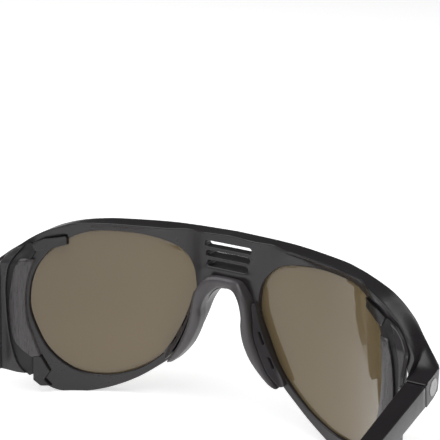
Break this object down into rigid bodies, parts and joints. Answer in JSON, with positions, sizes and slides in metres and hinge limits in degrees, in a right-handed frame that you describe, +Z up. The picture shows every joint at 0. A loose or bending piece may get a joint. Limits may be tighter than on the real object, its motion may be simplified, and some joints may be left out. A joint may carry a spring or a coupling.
{
  "type": "glacier glasses",
  "caption": "Wrap-around mountain sunglasses with a vented bridge, soft nose piece, clip-on side shields and folding temples.",
  "frame": {"origin": "middle of the open glasses seen from above, on the surface they rest on", "axes": "+X towards the wearer's left, -Y the way the wearer faces, temples along +Y, +Z up"},
  "size_m": [0.1532, 0.1588, 0.0584],
  "materials": {
    "frame_nylon": "satin moulded nylon, very dark warm grey",
    "lens": "dark brown-grey polycarbonate, smooth",
    "nose_rubber": "soft satin rubber",
    "pad_nylon": "satin dark grey",
    "hinge_steel": "blackened brushed steel",
    "screw_steel": "turned steel",
    "badge": "plain satin disc",
    "shield_carrier": "satin moulded nylon with fine moulding lines",
    "shield_panel": "semi-matt flexible moulding",
    "temple_nylon": "satin moulded nylon",
    "tip_rubber": "matt rubber"
  },
  "bodies": {
    "front": {"front_frame": "frame_nylon", "left_lens": "lens", "right_lens": "lens", "nose_saddle": "nose_rubber", "left_nose_pad": "pad_nylon", "right_nose_pad": "pad_nylon", "left_front_hinge": "hinge_steel", "right_front_hinge": "hinge_steel", "left_hinge_screw": "screw_steel", "right_hinge_screw": "screw_steel", "left_front_screws": "screw_steel", "right_front_screws": "screw_steel", "left_badge": "badge", "right_badge": "badge"},
    "left_temple": {"left_temple_arm": "temple_nylon", "left_temple_hinge": "hinge_steel", "left_temple_screws": "screw_steel", "left_temple_tip": "tip_rubber"},
    "right_temple": {"right_temple_arm": "temple_nylon", "right_temple_hinge": "hinge_steel", "right_temple_screws": "screw_steel", "right_temple_tip": "tip_rubber"},
    "left_shield": {"left_shield_carrier": "shield_carrier", "left_shield_panel": "shield_panel"},
    "right_shield": {"right_shield_carrier": "shield_carrier", "right_shield_panel": "shield_panel"}
  },
  "joints": [
    {"name": "left_temple_fold", "type": "hinge", "parent": "front", "child": "left_temple", "pos_m": [0.0703, -0.04491, 0.0348], "axis": [0, 0.2045, 0.9789], "range_deg": [0, 92]},
    {"name": "right_temple_fold", "type": "hinge", "parent": "front", "child": "right_temple", "pos_m": [-0.0703, -0.04491, 0.0348], "axis": [0, -0.2045, -0.9789], "range_deg": [0, 84]},
    {"name": "left_shield_pull", "type": "slide", "parent": "front", "child": "left_shield", "axis": [0, 0.9789, -0.2045], "range_m": [0, 0.0025]},
    {"name": "right_shield_pull", "type": "slide", "parent": "front", "child": "right_shield", "axis": [0, 0.9789, -0.2045], "range_m": [0, 0.0025]}
  ]
}
